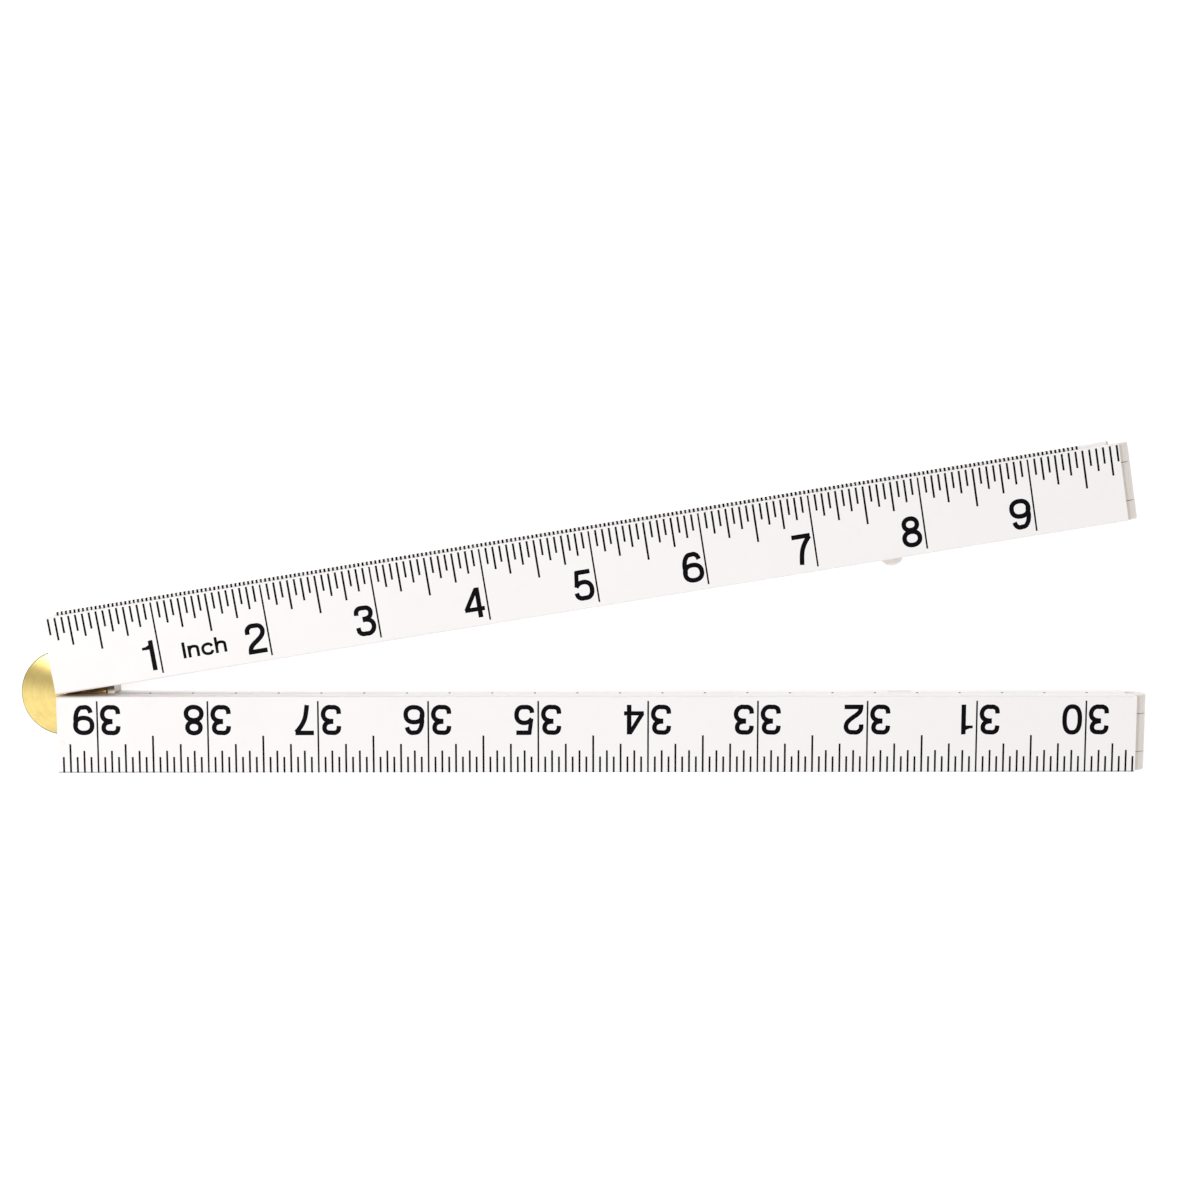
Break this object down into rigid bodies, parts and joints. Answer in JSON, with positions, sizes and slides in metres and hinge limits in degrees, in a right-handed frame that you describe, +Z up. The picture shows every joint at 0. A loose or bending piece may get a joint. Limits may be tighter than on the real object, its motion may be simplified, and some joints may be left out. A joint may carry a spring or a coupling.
{
  "type": "folding rule",
  "caption": "White plastic four-fold rule with a round brass main joint and plastic knuckle joints, folded and part open.",
  "frame": {"origin": "on the main joint's axis, at the underside of the folded rule", "axes": "+X along the lower arm from the main joint to its knuckle, +Y across the arms towards the upper arm, +Z up from the face the rule lies on to its front face"},
  "size_m": [0.2635, 0.0776, 0.0102],
  "materials": {
    "white_plastic": "satin",
    "brass": "turned",
    "pin_steel": "drawn",
    "tab_plastic": "satin"
  },
  "bodies": {
    "lower_back_leg": {"leg_3": "white_plastic", "joint_top_plate": "brass", "joint_bottom_plate": "brass", "joint_rivet": "brass", "leg_3_rivets": "brass", "lower_knuckle_pin": "pin_steel"},
    "upper_back_leg": {"leg_2": "white_plastic", "joint_leaf": "brass", "leg_2_rivets": "brass", "upper_knuckle_pin": "pin_steel", "closing_tab": "tab_plastic"},
    "upper_front_leg": {"leg_1": "white_plastic"},
    "lower_front_leg": {"leg_4": "white_plastic"}
  },
  "joints": [
    {"name": "main_joint", "type": "hinge", "parent": "lower_back_leg", "child": "upper_back_leg", "pos_m": [0, 0, 0.0025], "axis": [0, 0, 1], "range_deg": [-9.27, 170.73]},
    {"name": "upper_knuckle", "type": "hinge", "parent": "upper_back_leg", "child": "upper_front_leg", "pos_m": [0.24524, 0.04945, 0.0051], "axis": [-0.1611, 0.9869, 0], "range_deg": [0, 180]},
    {"name": "lower_knuckle", "type": "hinge", "parent": "lower_back_leg", "child": "lower_front_leg", "pos_m": [0.25, -0.0093, 0.0051], "axis": [0, 1, 0], "range_deg": [0, 180]}
  ]
}
